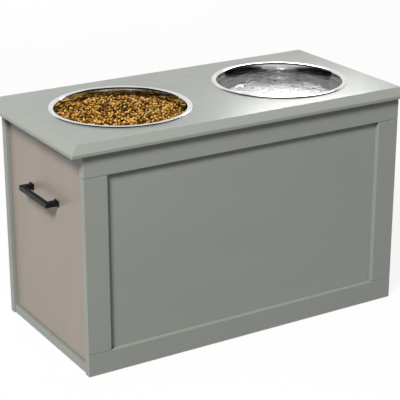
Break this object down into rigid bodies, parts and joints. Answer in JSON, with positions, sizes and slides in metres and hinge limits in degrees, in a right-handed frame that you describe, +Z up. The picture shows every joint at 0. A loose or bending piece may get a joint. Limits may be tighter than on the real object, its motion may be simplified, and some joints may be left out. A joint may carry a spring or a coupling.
{
  "type": "elevated dog feeder with storage drawer",
  "caption": "Raised dog feeder: a painted cabinet whose bevelled top holds lift-out steel bowls, with a deep end drawer on roller runners for food.",
  "frame": {"origin": "on the floor, under the middle of the top slab", "axes": "+X along the panelled front from the drawer end to the closed end, +Y from the front to the back, +Z up"},
  "size_m": [0.6, 0.306, 0.3624],
  "materials": {
    "sage_paint": "satin sage grey paint over fibreboard",
    "taupe_paint": "satin taupe paint over fibreboard",
    "drawer_board": "pale laminated particle board",
    "plain_wood": "bare pine",
    "black_pull": "satin black powder coat",
    "zinc_steel": "zinc plated",
    "polished_steel": "mirror polished stainless steel",
    "white_nylon": "moulded nylon",
    "pad_rubber": "matt rubber"
  },
  "bodies": {
    "cabinet": {"top_panel": "sage_paint", "front_top_rail": "sage_paint", "front_bottom_rail": "sage_paint", "front_left_stile": "sage_paint", "front_right_stile": "sage_paint", "front_panel": "sage_paint", "back_panel": "sage_paint", "right_end_panel": "sage_paint", "base_panel": "sage_paint", "top_front_cleat": "plain_wood", "top_back_cleat": "plain_wood", "top_end_cleat": "plain_wood", "foot_pads": "pad_rubber", "front_cabinet_runner": "zinc_steel", "back_cabinet_runner": "zinc_steel", "cabinet_roller_pins": "zinc_steel", "cabinet_runner_screws": "zinc_steel", "slab_screws": "zinc_steel", "dowels": "plain_wood"},
    "drawer": {"drawer_front": "taupe_paint", "drawer_inner_front": "drawer_board", "drawer_front_side": "drawer_board", "drawer_back_side": "drawer_board", "drawer_rear": "drawer_board", "drawer_bottom": "drawer_board", "drawer_pull": "black_pull", "pull_screws": "zinc_steel", "drawer_front_screws": "zinc_steel", "drawer_box_screws": "zinc_steel", "front_drawer_runner": "zinc_steel", "back_drawer_runner": "zinc_steel", "drawer_roller_pins": "zinc_steel", "drawer_runner_screws": "zinc_steel"},
    "front_cabinet_wheel": {"front_cabinet_roller": "white_nylon"},
    "back_cabinet_wheel": {"back_cabinet_roller": "white_nylon"},
    "front_drawer_wheel": {"front_drawer_roller": "white_nylon"},
    "back_drawer_wheel": {"back_drawer_roller": "white_nylon"},
    "food_bowl": {"food_bowl": "polished_steel"},
    "water_bowl": {"water_bowl": "polished_steel"}
  },
  "joints": [
    {"name": "drawer_slide", "type": "slide", "parent": "cabinet", "child": "drawer", "axis": [-1, 0, 0], "range_m": [0, 0.37]},
    {"name": "food_bowl_lift", "type": "slide", "parent": "cabinet", "child": "food_bowl", "axis": [0, 0, 1], "range_m": [0, 0.12]},
    {"name": "water_bowl_lift", "type": "slide", "parent": "cabinet", "child": "water_bowl", "axis": [0, 0, 1], "range_m": [0, 0.12]},
    {"name": "front_cabinet_roller_spin", "type": "hinge", "parent": "cabinet", "child": "front_cabinet_wheel", "pos_m": [-0.242, -0.1285, 0.0252], "axis": [0, 1, 0], "continuous": true},
    {"name": "back_cabinet_roller_spin", "type": "hinge", "parent": "cabinet", "child": "back_cabinet_wheel", "pos_m": [-0.242, 0.1165, 0.0252], "axis": [0, 1, 0], "continuous": true},
    {"name": "front_drawer_roller_spin", "type": "hinge", "parent": "drawer", "child": "front_drawer_wheel", "pos_m": [0.2304, -0.1238, 0.0262], "axis": [0, 1, 0], "continuous": true},
    {"name": "back_drawer_roller_spin", "type": "hinge", "parent": "drawer", "child": "back_drawer_wheel", "pos_m": [0.2304, 0.1118, 0.0262], "axis": [0, 1, 0], "continuous": true}
  ],
  "couplings": [
    {"joint": "front_cabinet_roller_spin", "follows": "drawer_slide", "rad_per_m": -117.65},
    {"joint": "back_cabinet_roller_spin", "follows": "drawer_slide", "rad_per_m": -117.65},
    {"joint": "front_drawer_roller_spin", "follows": "drawer_slide", "rad_per_m": -105.26},
    {"joint": "back_drawer_roller_spin", "follows": "drawer_slide", "rad_per_m": -105.26}
  ]
}
